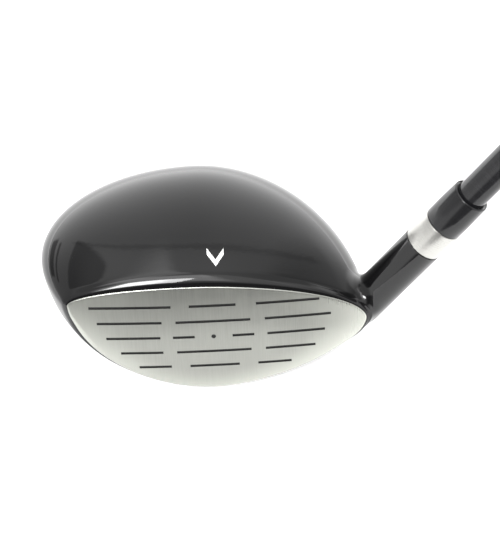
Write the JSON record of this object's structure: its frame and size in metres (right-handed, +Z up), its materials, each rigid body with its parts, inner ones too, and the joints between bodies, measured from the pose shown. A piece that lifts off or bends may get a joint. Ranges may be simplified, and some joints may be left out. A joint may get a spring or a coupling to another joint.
{
  "type": "fairway wood",
  "caption": "Right-handed fairway wood golf club: low steel head with a scored face, black crown, silver neck ring, ferrule, tapered shaft and rubber grip.",
  "frame": {"origin": "centre of the flat spot under the sole, where the club stands at address", "axes": "-Y is the way the face looks, +X from toe to heel, +Z up; the shaft rises in the XZ plane's direction, leaning towards +X at the lie angle of 57.3 degrees"},
  "size_m": [0.6902, 0.0758, 0.9261],
  "materials": {
    "black_paint": "gloss",
    "face_steel": "brushed",
    "sole_steel": "satin",
    "silver_ring": "satin",
    "ferrule_plastic": "polished",
    "graphite_lacquer": "satin lacquer",
    "brass_pin": "turned",
    "glue": "waxy",
    "tape": "paper",
    "grip_rubber": "matte",
    "cap_rubber": "matte"
  },
  "bodies": {
    "root": {"body_casting": "black_paint", "crown_plate": "black_paint", "face_plate": "face_steel", "sole_plate": "sole_steel", "hot_melt_pad": "glue", "trim_ring": "silver_ring", "ferrule": "ferrule_plastic", "shaft": "graphite_lacquer", "tip_weight": "brass_pin", "grip_tape": "tape", "grip_sleeve": "grip_rubber", "grip_cap": "cap_rubber"}
  },
  "joints": []
}
